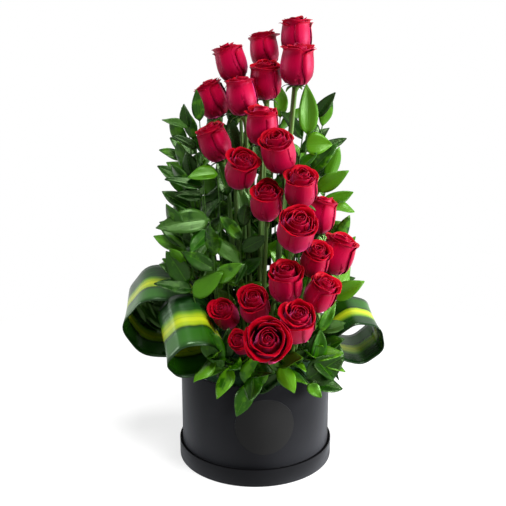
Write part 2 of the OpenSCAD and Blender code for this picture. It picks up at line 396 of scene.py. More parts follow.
def bloom_base(rose):
    """Where a bloom sits on its hip."""
    centre, lean, heading, size, _ = rose
    return Vector(centre) * mm - rose_axis(lean, heading) * bloom_height / 2 * size


def rose_matrix(rose):
    """Stands a bloom or its sepals on the hip, along the rose's axis."""
    return Matrix.Translation(bloom_base(rose)) @ lean_matrix(rose[1], rose[2])


print(len(roses), "roses, blooms", bloom_width, "by", bloom_height, "m")

# %% [markdown]
# The outside of a red rose petal is satiny and pinker, the inside is velvet and nearly
# pure red. Both finishes share one recipe: a base colour that darkens towards the foot of
# the petal, which is painted shade deep inside the bloom, faint veins that run up it, and
# a soft sheen. The petal's own UV map says how far across and how far up a point is.

# %% Petal finishes


def petal_finish(name, foot, middle, lip, roughness, sheen, sheen_tint):
    """Three colours up the petal, its dark foot painted shade, veins that run up it, a tinted
    sheen.
    """
    material, tree = new_material(
        name, roughness, Sheen_Weight=sheen, Sheen_Roughness=0.4, Sheen_Tint=(*sheen_tint, 1),
        Specular_IOR_Level=0.35, Specular_Tint=(*sheen_tint, 1),
    )
    _, up = split_uv(tree)
    blotches = noise_pattern(coordinates(tree, "Object"), 55, 2)
    colour = ramp(up + blotches * 0.24, [(0.08, foot), (0.5, middle), (1, lip)])
    veins = noise_pattern(coordinates(tree, "UV", (26, 1.6, 1)), 3, 3)
    colour = mix_colour((veins - 0.4) * 0.7, colour, foot)
    return end_material(material, colour, veins, 0.35, 0.4 * mm)


# The first colour of each finish, at the petal's foot, is painted shade from deep in the bloom.
petal_outside = petal_finish(
    "petal_outside", (0.12, 0, 0.006), (0.42, 0, 0.034), (0.42, 0, 0.012),
    roughness=0.42, sheen=0.6, sheen_tint=(1, 0.12, 0.42),
)
petal_inside = petal_finish(
    "petal_inside", (0.03, 0, 0), (0.22, 0, 0.003), (0.44, 0, 0.009),
    roughness=0.5, sheen=0.12, sheen_tint=(1, 0.05, 0.15),
)
print("petal finishes:", petal_outside.name, petal_inside.name)

# %% [markdown]
# One petal is a grid that is bent into shape. Going up it, a Bezier curve swells from the
# foot to the belly and closes to the neck, and an arc then rolls the lip outwards. Rows of
# the grid crowd towards the lip, where it bends most. Going across it, the grid wraps
# round the axis of the bloom.
#
# The curve's four points are shares of the belly's radius and of the bloom's height.

# %% Shape of a petal
petal_foot = 0.2
petal_swell, swell_height = 1.36, 0.02
petal_waist, waist_height = 0.97, 0.62
neck_share = 0.76
lip_crowding = 1.5
point_height = 0.06
petal_across, petal_along = 8, 10


def petal_place(s, t, petal):
    """Where a petal's point is: s runs across it, t from its foot to its lip."""
    corner = abs(s) ** 3
    t = 1 - (1 - t) ** lip_crowding
    point = petal["point"] * (1 - abs(s)) ** 2 * t**4 * point_height
    t = t * (1 - petal["round"] * corner) + point
    belly, neck = petal["belly"], petal["neck"]
    k = min(t / neck_share, 1.0)
    weights = ((1 - k) ** 3, 3 * (1 - k) ** 2 * k, 3 * (1 - k) * k * k, k**3)
    radii = (petal_foot * belly, petal_swell * belly, petal_waist * belly, neck)
    heights = (0, swell_height, waist_height, petal["neck_up"])
    radius = sum(w * r for w, r in zip(weights, radii))
    rise = sum(w * h for w, h in zip(weights, heights)) * bloom_height
    if t > neck_share:
        part = (t - neck_share) / (1 - neck_share)
        start = atan2(
            petal_waist * belly - neck, (petal["neck_up"] - waist_height) * bloom_height
        )
        curl = petal["curl"] * (0.7 + 0.5 * s * s)
        turn = -start + (curl + start) * part
        roll = petal["roll"] * (1 - 0.25 * s * s)
        radius += roll * (cos(start) - cos(turn))
        rise += roll * (sin(turn) + sin(start))
    wrap = petal["half_angle"] * (0.45 + 0.55 * smooth_step(t / 0.5))
    ruffle = sin(5.5 * s + petal["phase"]) * t**3
    radius += petal["twist"] * s + petal["ruffle"] * ruffle
    rise += 0.8 * petal["ruffle"] * cos(4.1 * s + petal["phase"]) * t**3
    angle = petal["angle"] + s * wrap
    return Vector((radius * cos(angle), radius * sin(angle), rise))


print("a petal is a grid of", petal_across, "by", petal_along, "faces")

# %% [markdown]
# A bloom is made of rings of petals, from the wide outer ring to the tight heart. Each
# row below is one ring: how many petals, the share of the full belly and neck radius, how
# high the neck stands, how far the lip curls and the radius that it rolls on, and how far
# round the bloom a petal reaches.

# %% Rings of petals
rings = [
    (3, 1, 0.8, 0.77, 118, 4.8, 68),
    (4, 0.96, 0.75, 0.8, 104, 4.8, 62),
    (4, 0.86, 0.64, 0.84, 84, 4.4, 62),
    (3, 0.7, 0.47, 0.88, 56, 3.8, 82),
    (3, 0.52, 0.32, 0.9, 34, 3.2, 96),
    (2, 0.36, 0.2, 0.91, 20, 2.6, 122),
    (2, 0.22, 0.1, 0.9, 10, 2.2, 170),
]


def build_bloom(number, rose):
    """One bloom in its place: separate petals, turned to differ from its neighbours."""
    dice = random.Random(number)
    bm = start_sheet()
    size, spread = rose[3:]
    count = 0
    for petals, belly, neck, neck_up, curl, roll, half in rings:
        flare = spread * max(neck - 0.45, 0)
        for k in range(petals):
            step = k / petals
            petal = {
                "belly": belly_radius * (belly - 0.05 * step),
                "neck": belly_radius * (neck + 0.75 * flare - 0.08 * step),
                "neck_up": neck_up - 0.1 * flare + dice.uniform(-0.07, 0.015),
                "curl": radians(curl * dice.uniform(0.5, 1.05)),
                "roll": roll * mm * dice.uniform(0.85, 1.15),
                "half_angle": radians(half * dice.uniform(0.94, 1.06)),
                "angle": radians(golden * count + dice.uniform(-9, 9)),
                "twist": -1.1 * mm * (1 - 0.5 * step),
                "ruffle": dice.uniform(0.3, 1.2) * mm,
                "phase": dice.uniform(0, 6.28),
                "round": dice.uniform(0.16, 0.28),
                "point": dice.uniform(0.4, 1.6),
            }
            shape_grid(bm, petal_across, petal_along, petal_place, petal)
            count += 1
    place = rose_matrix(rose) @ turned(golden * number, "Z") @ Matrix.Scale(size, 4)
    bmesh.ops.transform(bm, matrix=place, verts=bm.verts)
    return bm


petal_thickness = 0.45 * mm
for number, rose in enumerate(roses, start=1):
    name = f"rose_{number:02d}"
    sides = [petal_outside, petal_inside]
    bloom = make_piece(name + "_bloom", build_bloom(number, rose), sides, [name])
    thicken(bloom, petal_thickness, offset=1, inner_material=1)
print("made", len(roses), "blooms")

# %% [markdown]
# ## Stems
# Stems and twigs are tapered tubes. A curve with a bevel makes them: each of its points
# carries a radius, and the curve stays smooth between points. The curve is then turned
# into a mesh, so that the finished piece is an ordinary one.

# %% Tube helper


def tube_mesh(paths, sides=8, smoothness=4):
    """A bmesh of tapered tubes; each path is a list of (point, radius)."""
    curve = bpy.data.curves.new("tubes", "CURVE")
    curve.dimensions = "3D"
    curve.bevel_depth = 1
    curve.bevel_resolution = (sides - 4) // 2
    curve.resolution_u = smoothness
    curve.use_fill_caps = True
    for path in paths:
        spline = curve.splines.new("BEZIER")
        spline.bezier_points.add(len(path) - 1)
        for knot, (point, radius) in zip(spline.bezier_points, path):
            knot.co = point
            knot.radius = radius
            knot.handle_left_type = knot.handle_right_type = "AUTO"
    draft = add_object("tubes", curve)
    evaluated = draft.evaluated_get(bpy.context.evaluated_depsgraph_get())
    mesh = bpy.data.meshes.new_from_object(evaluated)
    bm = bmesh.new()
    bm.from_mesh(mesh)
    bpy.data.meshes.remove(mesh)
    bpy.data.objects.remove(draft)
    bpy.data.curves.remove(curve)
    return bm


print("tube helper ready")

# %% [markdown]
# Rose stems are pale green with a slight gloss, in darker and lighter patches and fine
# streaks that run up them. The sepals share the finish, and twigs are darker.

# %% Green finishes


def green_material(name, roughness, tint):
    """The skin of stems and leaves: its highlight has a green tint."""
    return new_material(name, roughness, Specular_IOR_Level=0.4, Specular_Tint=tint)


def stem_finish(name, dark, light, roughness):
    """Patches and long streaks between a dark and a light green."""
    material, tree = green_material(name, roughness, (0.7, 1, 0.5, 1))
    streaks = noise_pattern(coordinates(tree, "Object", (1, 1, 0.12)), 420, 3)
    patches = noise_pattern(coordinates(tree, "Object"), 24, 2)
    colour = ramp(streaks * 0.5 + patches, [(0.45, dark), (1, light)])
    return end_material(material, colour, streaks, 0.3, 0.3 * mm)


rose_green = stem_finish("rose_green", (0.02, 0.07, 0.008), (0.11, 0.2, 0.04), 0.45)
twig_green = stem_finish("twig_green", (0.012, 0.05, 0.005), (0.05, 0.14, 0.015), 0.5)
print("stem finishes:", rose_green.name, twig_green.name)

# %% [markdown]
# Every stem rises from the foam towards its rose and bends only near the top, where the
# neck turns to follow the bloom. The neck widens into the hip, the green cup that carries
# the petals, and five sepals fold down from its edge.

# %% Rose stems
neck_length = 12 * mm
hip_height = 8 * mm
hip_radius = 5.7 * mm
stem_radius = 2.75 * mm
stem_taper = [(0, 1), (0.35, 1.02), (0.7, 0.98), (0.93, 0.9)]
foot_height = 109.5 * mm
stem_aim = Vector((0, 0, -100 * mm))


def stem_path(rose):
    """Points and radii of one stem, from its foot in the foam to its hip."""
    axis = rose_axis(rose[1], rose[2])
    base = bloom_base(rose)
    neck = base - axis * (neck_length + hip_height)
    foot = neck.lerp(stem_aim, (neck.z - foot_height) / (neck.z - stem_aim.z))
    stalk = neck - foot
    stem = [(foot + stalk * up, stem_radius * share) for up, share in stem_taper]
    return stem + [
        (neck + axis * 4 * mm, stem_radius * 0.86),
        (base - axis * hip_height, stem_radius * 0.95),
        (base - axis * hip_height * 0.5, hip_radius * 0.78),
        (base + axis * 0.5 * mm, hip_radius),
    ]


stems = tube_mesh([stem_path(rose) for rose in roses], sides=10)
make_piece("rose_stem_bundle", stems, [rose_green], ["rose_stems"])
print("made", len(roses), "stems")

# %% [markdown]
# A sepal is a narrow, pointed, cupped sheet: one arc carries it from sideways to nearly
# straight down. Five of them stand round the hip, each with its own length and fall.

# %% Sepals
sepal_length = 17 * mm
sepal_width = 5.2 * mm
sepal_start = 62
sepal_sink = 2.5 * mm
sepal_thickness = 0.6 * mm


def sepal_place(s, t, fall, length):
    """A narrow pointed sheet that leaves the hip sideways and curls down."""
    start, end = radians(sepal_start), radians(fall)
    turn = start + (end - start) * t
    arc = length / (end - start)
    half = sepal_width / 2 * sin(pi * min(0.22 + 0.78 * t, 1)) ** 0.8
    out = 3.6 * mm + arc * (cos(start) - cos(turn))
    rise = arc * (sin(turn) - sin(start))
    cup = 0.9 * mm * s * s * (1 - t)
    return Vector((out - cup * cos(turn), s * half, rise + cup * sin(turn)))


sepals = start_sheet()
for number, rose in enumerate(roses, start=1):
    dice = random.Random(100 + number)
    place = rose_matrix(rose)
    for k in range(5):
        fall, length = dice.uniform(110, 168), sepal_length * dice.uniform(0.8, 1.1)
        made = shape_grid(sepals, 3, 7, sepal_place, fall, length)
        turn = turned(72 * k + dice.uniform(-12, 12), "Z")
        sink = Matrix.Translation((0, 0, -sepal_sink))
        bmesh.ops.transform(sepals, matrix=place @ turn @ sink, verts=made)
sepal_piece = make_piece("rose_sepals", sepals, [rose_green], ["rose_stems"])
thicken(sepal_piece, sepal_thickness)
print("made", 5 * len(roses), "sepals")

# %% [markdown]
# ## Leafy sprigs
# The greens are sprigs of ruscus, with pointed glossy leaves on alternate sides of an
# arching twig, and sprays of salal, with broader leaves that cover the foam and hang over
# the rim. Each leaf is a folded, slightly wavy grid.
#
# Each row below is one twig, in millimetres and degrees: its node, its foot across the
# foam, its tip, how far it bends, the size of its leaves, the bare length at its foot and
# the heading that its leaves face. Every leaf fans out from there to its side.

# %% Places of the sprigs
sprigs = [
    ("ruscus_left_tall", (-36, 40), (-82, 52, 424), 6, 1, 190, -110),
    ("ruscus_left_tall", (-30, 58), (-52, 70, 416), 6, 1, 150, -110),
    ("ruscus_left_tall", (-44, 50), (-96, 62, 412), 12, 0.9, 210, -110),
    ("ruscus_left_upper", (-50, 10), (-86, 4, 356), 12, 1, 140, -110),
    ("ruscus_left_upper", (-46, 30), (-80, 24, 368), 8, 1, 165, -95),
    ("ruscus_left_upper", (-51, 27), (-90, 28, 384), 12, 0.9, 180, -110),
    ("ruscus_left_middle", (-54, -16), (-94, -24, 308), 14, 1.05, 140, -110),
    ("ruscus_left_middle", (-50, -4), (-84, -16, 312), 8, 1, 110, -110),
    ("ruscus_left_front", (-50, -14), (-52, -54, 290), 10, 1, 132, -100),
    ("ruscus_left_low", (-40, -8), (-90, -40, 272), 22, 0.9, 140, -110),
    ("ruscus_inner", (-30, -10), (-16, -30, 322), 6, 0.85, 95, -95),
    ("ruscus_right_tall", (40, 54), (66, 74, 440), 8, 0.95, 275, -80),
    ("ruscus_right_tall", (50, 48), (90, 64, 440), 12, 0.9, 290, -76),
    ("ruscus_right_upper", (56, 44), (98, 52, 366), 12, 1, 175, -70),
    ("ruscus_right_upper", (50, 62), (76, 92, 402), 10, 1, 230, -70),
    ("ruscus_right_middle", (66, 30), (110, 40, 281), 14, 1, 150, -70),
    ("ruscus_right_middle", (72, 34), (114, 62, 250), 18, 0.9, 110, -70),
    ("salal_right", (70, 16), (110, 20, 212), 20, 1, 75, -70),
    ("salal_right_front", (62, -48), (85, -66, 168), 110, 0.9, 30, 142),
    ("salal_right_front", (52, -56), (75, -80, 166), 110, 0.75, 30, 132),
    ("salal_front_right", (25, -75), (33, -104, 166), 115, 0.85, 30, 108),
    ("salal_front", (1, -79), (-2, -108, 155), 120, 0.8, 30, 90),
    ("salal_front_left", (-22, -76), (-32, -103, 162), 120, 0.85, 30, 72),
    ("salal_left_front", (-38, -68), (-52, -90, 168), 110, 0.85, 30, 55),
    ("ruscus_back_left", (-22, 70), (-46, 98, 330), 12, 1, 80, 110),
    ("ruscus_back_left", (-12, 68), (-28, 84, 436), 6, 0.9, 300, -95),
    ("ruscus_back_tall", (0, 60), (-2, 96, 430), 6, 1, 120, 90),
    ("ruscus_back_right", (42, 66), (70, 98, 350), 12, 1, 105, 70),
    ("ruscus_back_right", (26, 72), (34, 84, 450), 6, 0.9, 300, 90),
    ("salal_back_left", (-52, 60), (-80, 90, 176), 110, 1, 30, -50),
    ("salal_back", (-12, 78), (-16, 114, 172), 110, 1, 30, -85),
    ("salal_back_right", (26, 78), (42, 110, 174), 110, 1, 30, -115),
    ("salal_right_back", (62, 52), (88, 78, 176), 110, 1, 30, -150),
]
foam_top = 154.5
ruscus = {"length": 52, "width": 24, "push_in": 45, "pitch": 26, "open": 48, "droop": 12}
salal = {"length": 52, "width": 30, "push_in": 25, "pitch": 15.6, "open": 32, "droop": -30}
leaf_fold = 16
leaf_twist = 55
leaf_fan = 80
twig_radius = 1.5
print(len(sprigs), "twigs in", len({row[0] for row in sprigs}), "nodes")

# %% [markdown]
# Leaf colour changes from leaf to leaf, so each leaf's UV map is moved along by a whole
# number: the fraction still says where a point is across the leaf, and the whole part
# picks the leaf's own tone. The blade is glossy, with a paler midrib and fine veins.

# %% Leaf finishes


def leaf_finish(name, dark, middle, light, roughness, vein_turn):
    """A glossy leaf: own tone, pale midrib, veins that run along it or across it."""
    material, tree = green_material(name, roughness, (0.6, 1, 0.4, 1))
    across, along = split_uv(tree)
    side = (across.math("FRACT") - 0.5).math("ABSOLUTE")
    tone = add_node(tree, "TexWhiteNoise", {"W": across.math("FLOOR")}, noise_dimensions="1D")
    mottle = noise_pattern(coordinates(tree, "Object"), 90, 3)
    colour = ramp(tone * 0.75 + mottle, [(0.4, dark), (0.85, middle), (1, light)])
    position = side * vein_turn + along if vein_turn else side
    count = 9 if vein_turn else 26
    veins = (position * (6.28 * count)).math("SINE").math("ABSOLUTE").math("POWER", 6)
    rib = add_node(tree, "Clamp", {"Value": side * -28 + 1})
    pale = rib.math("MAXIMUM", veins * 0.16)
    colour = mix_colour(pale * 0.55, colour, light)
    return end_material(material, colour, mottle * 0.6 - pale, 0.35, 0.5 * mm)


ruscus_finish = leaf_finish(
    "ruscus_leaf", (0.001, 0.012, 0), (0.008, 0.055, 0), (0.06, 0.2, 0.004), 0.24, 0
)
salal_finish = leaf_finish(
    "salal_leaf", (0.002, 0.016, 0), (0.012, 0.075, 0), (0.08, 0.24, 0.005), 0.26, 1.1
)
print("leaf finishes:", ruscus_finish.name, salal_finish.name)

# %% [markdown]
# A leaf is a grid whose width follows a sine that peaks nearer its stalk. The blade is
# folded along its midrib, sags and sways a little towards its tip, and its edge is wavy.
# Random numbers make each leaf differ.

# %% Shape of a leaf


def leaf_place(s, t, leaf):
    """Along +Z from its stalk, folded towards -X; s runs across it, t along it."""
    broad = sin(pi * t ** leaf["belly"]) ** 0.82
    half = max(leaf["width"] / 2 * broad, 0.6)
    y = s * half
    fold = abs(y) * tan(radians(leaf["fold"]))
    sag = leaf["sag"] * leaf["length"] * t * t
    wave = leaf["wave"] * s * s * sin(9 * t + leaf["phase"] + (1.3 if s > 0 else 0))
    side = leaf["sway"] * leaf["length"] * t * t
    return Vector((sag - fold + wave, y + side, t * leaf["length"])) * mm


def add_leaf(bm, number, place, kind, size, dice):
    """Adds one leaf at a matrix, and gives it its own place along the UV map."""
    leaf = {
        "length": kind["length"] * size * dice.uniform(0.9, 1.08),
        "width": kind["width"] * size * dice.uniform(0.9, 1.12),
        "belly": 0.84 if kind is ruscus else 0.72,
        "fold": leaf_fold * dice.uniform(0.5, 1.5),
        "sag": dice.uniform(-0.03, 0.16),
        "sway": dice.uniform(-0.1, 0.1),
        "wave": dice.uniform(0.4, 1.6),
        "phase": dice.uniform(0, 6.28),
    }
    made = shape_grid(bm, 6, 9, leaf_place, leaf)
    layer = bm.loops.layers.uv.active
    for face in {face for vert in made for face in vert.link_faces}:
        for loop in face.loops:
            loop[layer].uv.x = number + 0.02 + 0.96 * loop[layer].uv.x
    bmesh.ops.transform(bm, matrix=place, verts=made)


print("leaf ready")

# %% [markdown]
# A twig bends evenly from foot to tip, so it is an arc of a circle. Leaves go on from the
# tip down, first to one side and then to the other.

# %% Twigs and their leaves
fullness = 1.35
tones_per_twig = 40
leaf_thickness = 0.5 * mm


def twig_arc(row, kind):
    """The arc of one twig: its heading, length, lean at the foot, and point at a lean."""
    foot = Vector((*row[1], foam_top - kind["push_in"]))
    chord = Vector(row[2]) - foot
    bend = row[3]
    heading = degrees(atan2(chord.y, chord.x))
    lean_low = degrees(atan2(hypot(chord.x, chord.y), chord.z)) - bend / 2
    radius = chord.length / (2 * sin(radians(bend / 2)))
    low = radians(lean_low)

    def point(lean):
        here = radians(lean)
        reach = Vector((cos(low) - cos(here), 0, sin(here) - sin(low))) * radius
        return (foot + turned(heading, "Z") @ reach) * mm

    return heading, radius * radians(bend), lean_low, point


def add_twig(bm, row, number):
    """Adds the leaves of one twig to bm and returns the path of the twig itself."""
    kind = salal if row[0].startswith("salal") else ruscus
    bend, size, bare, face = row[3:]
    heading, length, lean_low, point = twig_arc(row, kind)
    dice = random.Random(300 + number)
    pitch = size * kind["pitch"] / fullness
    for k in range(int((length - bare) / pitch) + 1):
        lean = lean_low + bend * (1 - k * pitch / length)
        side = 0 if k == 0 else 1 if k % 2 == 0 else -1
        open_angle = kind["droop"] if k == 0 else kind["open"] + dice.uniform(-9, 9)
        around = face - heading + side * leaf_fan + (dice.uniform(-14, 14) if k else 0)
        place = (
            Matrix.Translation(point(lean))
            @ lean_matrix(lean, heading)
            @ turned(around, "Z")
            @ turned(open_angle, "Y")
            @ turned(side * leaf_twist + dice.uniform(-10, 10), "Z")
        )
        leaf_size = size * (0.92 if k == 0 else dice.uniform(0.85, 1.02))
        add_leaf(bm, tones_per_twig * number + k, place, kind, leaf_size, dice)
    knots = (0, 0.25, 0.5, 0.75, 1)
    return [(point(lean_low + bend * k), twig_radius * (1.15 - 0.6 * k) * mm) for k in knots]


twig_paths = []
for node in dict.fromkeys(row[0] for row in sprigs):
    bm = start_sheet()
    for number, row in enumerate(sprigs):
        if row[0] == node:
            twig_paths.append(add_twig(bm, row, number))
    is_salal = node.startswith("salal")
    finish = salal_finish if is_salal else ruscus_finish
    leaves = make_piece(node + "_leaves", bm, [finish], [node])
    thicken(leaves, leaf_thickness)
print("leaves on", len(twig_paths), "twigs")

# %% [markdown]
# Shorter twigs of ruscus stand between the rose stems and fill the heart of the
# arrangement, so that it looks dark and deep between the blooms. Their rows are like
# those above, without a node.

# %% Inner greens
inner_sprigs = [
    ((-20, 24), (-34, 32, 300), 6, 1.05, 50, -100),
    ((-8, 36), (-10, 46, 372), 6, 1.05, 60, -80),
    ((8, 30), (6, 40, 300), 8, 1.05, 50, -95),
    ((20, 46), (24, 60, 392), 6, 1.05, 70, -85),
    ((-40, 34), (-56, 44, 340), 8, 1.05, 60, -105),
    ((36, 22), (46, 30, 262), 8, 1.05, 50, -75),
    ((-30, 62), (-38, 84, 318), 6, 1.1, 50, -90),
    ((10, 68), (14, 90, 336), 6, 1.1, 50, -90),
    ((40, 50), (58, 62, 342), 8, 1.05, 60, -75),
    ((-2, 6), (-4, 12, 246), 8, 1.05, 40, -90),
    ((-52, 14), (-66, 22, 262), 10, 1.1, 40, -110),
    ((56, 0), (64, 4, 226), 10, 1, 40, -70),
]
bm = start_sheet()
for number, row in enumerate(inner_sprigs, start=len(sprigs)):
    twig_paths.append(add_twig(bm, ("ruscus_heart", *row), number))
heart = make_piece("ruscus_heart_leaves", bm, [ruscus_finish])
thicken(heart, leaf_thickness)
twigs = tube_mesh(twig_paths, sides=6, smoothness=3)
sprig_nodes = list(dict.fromkeys(row[0] for row in sprigs))
make_piece("sprig_twigs", twigs, [twig_green], sprig_nodes)
print("made", len(twig_paths), "twigs")

# %% [markdown]
# A collar of single salal leaves hides the foam: an upper tier leans on the stems, a
# middle tier lies nearly flat, and two low tiers hang over the rim of the box, except in
# front, where leaves are placed one by one. Each row is one tier in millimetres and degrees:
# how many leaves, their distance from the axis and height, how far they rise above level,
# and their size.

# %% Leaf collar
collar_tiers = [
    (13, 46, 160, 38, 1.05),
    (17, 66, 157, 12, 1.1),
    (19, 82, 151, -22, 1.05),
    (15, 88, 147, -50, 0.85),
]
collar_front = -0.3
collar_tones = 3000
broad_leaf_thickness = 0.6 * mm
collar = start_sheet()
dice = random.Random(7)
count = 0
for leaves, reach, height, rise, size in collar_tiers:
    for k in range(leaves):
        heading = 360 * (k + dice.uniform(-0.3, 0.3)) / leaves + 17 * reach
        if rise < 0 and sin(radians(heading)) < collar_front:
            continue
        here = turned(heading, "Z") @ Vector((reach, 0, height))
        aim = heading + dice.uniform(-32, 32)
        place = (
            Matrix.Translation(here * mm)
            @ lean_matrix(90 - rise + dice.uniform(-16, 16), aim)
            @ turned(dice.uniform(-38, 38), "Z")
        )
        count += 1
        leaf_size = size * dice.uniform(0.8, 1.1)
        add_leaf(collar, collar_tones + count, place, salal, leaf_size, dice)
collar_piece = make_piece("salal_collar", collar, [salal_finish])
thicken(collar_piece, broad_leaf_thickness)
print("made a collar of", count, "leaves")

# %% [markdown]
# A florist turns the best leaves to the front by hand: broad ones over the rim, single
# ones between the loops and along the flanks. Each row gives, in millimetres and degrees,
# where the leaf starts, where its tip is, its width, the heading that its face looks to,
# and its tone: young leaves are light and old ones dark, partly from their age and partly
# as painted light and painted shade where leaves catch the light or sit in shadow.

# %% Places of the single leaves
front_leaves = [
    ((-60, -84, 200), (-44, -99, 162), 26, -100, "young"),
    ((-36, -84, 166), (-32, -80, 204), 20, -80, "old"),
    ((-48, -92, 146), (-26, -97, 164), 15, -100, "old"),
    ((-10, -96, 134), (10, -98, 178), 31, -80, "young"),
    ((22, -96, 142), (20, -100, 172), 22, -100, "leafy"),
    ((0, -100, 128), (32, -106, 154), 17, -90, "old"),
    ((-6, -101, 138), (-22, -107, 104), 21, -100, "young"),
    ((32, -96, 158), (60, -106, 144), 11, -80, "young"),
    ((64, -90, 140), (104, -80, 166), 29, -70, "leafy"),
    ((76, -80, 160), (84, -74, 196), 19, -60, "young"),
    ((64, -80, 160), (70, -78, 192), 14, -110, "old"),
    ((94, -66, 150), (104, -58, 182), 23, -50, "leafy"),
    ((66, -88, 140), (106, -80, 122), 25, -70, "leafy"),
    ((66, -96, 138), (78, -104, 124), 14, -90, "leafy"),
    ((82, -52, 190), (100, -40, 224), 15, -60, "young"),
    ((102, -12, 222), (138, -12, 248), 22, -70, "young"),
    ((82, -50, 190), (120, -40, 200), 17, -70, "old"),
    ((40, -88, 158), (60, -84, 178), 15, -90, "old"),
    ((-70, -90, 148), (-36, -100, 160), 11, -110, "leafy"),
    ((-86, -42, 252), (-110, -44, 294), 27, -110, "leafy"),
    ((-80, -46, 244), (-120, -56, 258), 21, -110, "old"),
    ((-78, -52, 236), (-48, -50, 268), 21, -80, "leafy"),
    ((-82, -20, 266), (-108, -16, 288), 18, -100, "old"),
    ((-58, -36, 318), (-80, -50, 296), 21, -100, "young"),
    ((-54, -34, 306), (-18, -46, 276), 18, -80, "old"),
    ((-36, -30, 258), (-14, -44, 250), 11, -80, "leafy"),
    ((-12, -40, 278), (-24, -54, 258), 11, -100, "leafy"),
    ((-58, -24, 330), (-116, -36, 328), 29, -110, "old"),
    ((-66, -10, 370), (-114, -20, 382), 19, -110, "old"),
    ((-68, -8, 358), (-98, -16, 362), 14, -100, "old"),
    ((-48, -8, 386), (-82, -18, 386), 24, -110, "leafy"),
    ((-76, 14, 416), (-104, 8, 432), 13, -110, "old"),
    ((-86, 26, 442), (-116, 22, 454), 12, -110, "old"),
    ((-86, 26, 442), (-92, 22, 472), 15, -110, "leafy"),
    ((-72, 26, 450), (-76, 26, 488), 15, -100, "leafy"),
    ((-14, 6, 336), (-24, 0, 366), 19, -90, "old"),
    ((-36, 2, 356), (-46, 0, 400), 21, -90, "leafy"),
    ((80, 40, 454), (100, 36, 488), 17, -70, "old"),
    ((68, 36, 432), (70, 34, 490), 22, -80, "leafy"),
    ((66, 34, 418), (98, 24, 422), 26, -70, "young"),
    ((72, 26, 384), (108, 24, 420), 16, -70, "leafy"),
    ((82, 32, 358), (118, 22, 388), 21, -70, "leafy"),
    ((102, 34, 336), (128, 18, 334), 18, -70, "young"),
    ((58, 24, 390), (78, 18, 406), 18, -80, "young"),
    ((-104, 46, 172), (-160, 42, 194), 34, -90, "old"),
    ((-106, 42, 194), (-158, 44, 214), 30, -90, "old"),
    ((-112, 40, 164), (-154, 44, 176), 26, -80, "leafy"),
    ((-148, 44, 146), (-160, 42, 212), 31, -90, "old"),
    ((-24, 46, 400), (-36, 44, 450), 20, -90, "old"),
    ((-12, 50, 396), (-6, 48, 450), 20, -80, "old"),
    ((8, 46, 376), (2, 44, 422), 19, -80, "old"),
]
print(len(front_leaves), "single leaves")

# %% [markdown]
# The leaves of one tone share a finish and become one piece: the young finish is painted
# lighter, as lit leaves, and the old one darker, as painted shade. A leaf is laid along
# its midrib, from its start to its tip, with its face to its heading. A thin stalk joins
# it to the foam.

# %% Single leaves and their stalks
# These two are the leaf finish made lighter and darker: painted light and painted shade over
# the tone of age.
young_lit_finish = leaf_finish(
    "young_lit_leaf", (0.006, 0.055, 0), (0.022, 0.12, 0), (0.08, 0.25, 0.005), 0.26, 1.1
)
old_shaded_finish = leaf_finish(
    "old_shaded_leaf", (0.001, 0.008, 0.001), (0.004, 0.03, 0.001), (0.03, 0.09, 0.01), 0.22, 0
)
leaf_ages_and_light = {"young": young_lit_finish, "leafy": ruscus_finish, "old": old_shaded_finish}
placed_tones = 4000
stalk_reach = 70
stalk_depth = 12


def lay_leaf(bm, number, row, dice):
    """Adds a leaf that runs from its base to its tip and looks towards its heading."""
    base, tip, width, face, _ = row
    along = (Vector(tip) - Vector(base)).normalized()
    up = radians(dice.uniform(20, 55))
    turn = radians(face + dice.uniform(-12, 12))
    looks = Vector((cos(turn) * cos(up), sin(turn) * cos(up), sin(up)))
    across = along.cross(-looks).normalized()
    out = across.cross(along)
    place = Matrix((out, across, along)).transposed().to_4x4()
    place.translation = Vector(base) * mm
    kind = {"length": (Vector(tip) - Vector(base)).length * 1.08, "width": width * 1.12}
    add_leaf(bm, number, place, kind, 1, dice)


dice = random.Random(21)
stalk_paths = []
for age_and_light, finish in leaf_ages_and_light.items():
    bm = start_sheet()
    for number, row in enumerate(front_leaves):
        if row[4] == age_and_light:
            lay_leaf(bm, placed_tones + number, row, dice)
            base = Vector(row[0])
            spread = min(0.8, stalk_reach / hypot(base.x, base.y))
            foot = Vector((base.x * spread, base.y * spread, foam_top - stalk_depth))
            middle = foot.lerp(base, 0.6) + Vector((0, 0, 6))
            path = [(foot, 1.1), (middle, 0.9), (base, 0.7)]
            stalk_paths.append([(point * mm, radius * mm) for point, radius in path])
    piece = make_piece("placed_leaves_" + age_and_light, bm, [finish])
    thicken(piece, broad_leaf_thickness)
stalks = tube_mesh(stalk_paths, sides=6)
make_piece("placed_leaf_stalks", stalks, [twig_green])
print("placed", len(front_leaves), "leaves by hand")

# %% [markdown]
# ## Looped leaves
# Four broad striped leaves are bent over into loops and pinned at their waists. A leaf's
# path is two straight legs joined by a round end. The end is pressed a little out of
# round, as a stiff leaf is, and the blade widens from its pinched waist.
#
# Each row gives, in millimetres and degrees: the loop's node, its waist, its foot in the
# foam, the centre and the radius of its round end, its width, its tilt, and the side of
# the blade that its bright stripe runs on.

# %% Places of the loops
loops = [
    ("loop_left_back", (-60, 22, 166), (-56, 22), (-121, 7, 198), 51, 66, 25, 1),
    ("loop_left_front", (-42, -36, 170), (-40, -34), (-84, -60, 188), 33, 76, 34, 1),
    ("loop_left_high", (-64, 58, 190), (-58, 50), (-102, 62, 240), 28, 54, 30, -1),
    ("loop_right", (76, -19, 172), (72, -19), (131, -14, 179), 31, 62, 14, 1),
]
loop_waist = 10
loop_full = 34
blade_spread = 1.1
blade_thickness = 0.9 * mm
blade_trough = 1.4
blade_wave = 0.9
end_dent = 0.035
stalk_radius = 3 * mm
print(len(loops), "looped leaves")

# %% [markdown]
# The striped leaf has dark margins, one bright band beside its middle and fine lines that
# run its whole length. All of it is read across the blade, with a slow drift along it, so
# stripes follow the bend.

